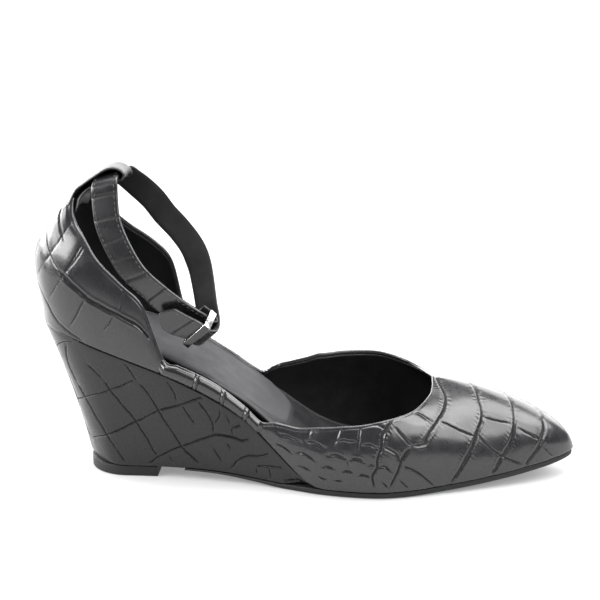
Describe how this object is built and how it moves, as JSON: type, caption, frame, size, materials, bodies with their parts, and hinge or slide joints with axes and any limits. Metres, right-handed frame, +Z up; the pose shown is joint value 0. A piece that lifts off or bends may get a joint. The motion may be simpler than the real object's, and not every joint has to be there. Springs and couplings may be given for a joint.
{
  "type": "wedge shoe",
  "caption": "Pointed wedge pump with cut-away sides, a closed heel counter and a buckled ankle strap run through a folded loop at the top of the heel.",
  "frame": {"origin": "middle of the heel top piece's underside, on the floor", "axes": "+X from heel to toe, +Y to the inner side of the foot, +Z up"},
  "size_m": [0.2435, 0.0763, 0.14],
  "materials": {
    "leather": "glossy embossed",
    "wedge_leather": "glossy embossed",
    "lining_leather": "satin",
    "sole_rubber": "matte",
    "polished_metal": "polished"
  },
  "bodies": {
    "root": {"upper": "leather", "wedge": "wedge_leather", "insole": "lining_leather", "outsole": "sole_rubber", "heel_top_piece": "sole_rubber", "ankle_strap": "leather", "buckle": "polished_metal"}
  },
  "joints": []
}
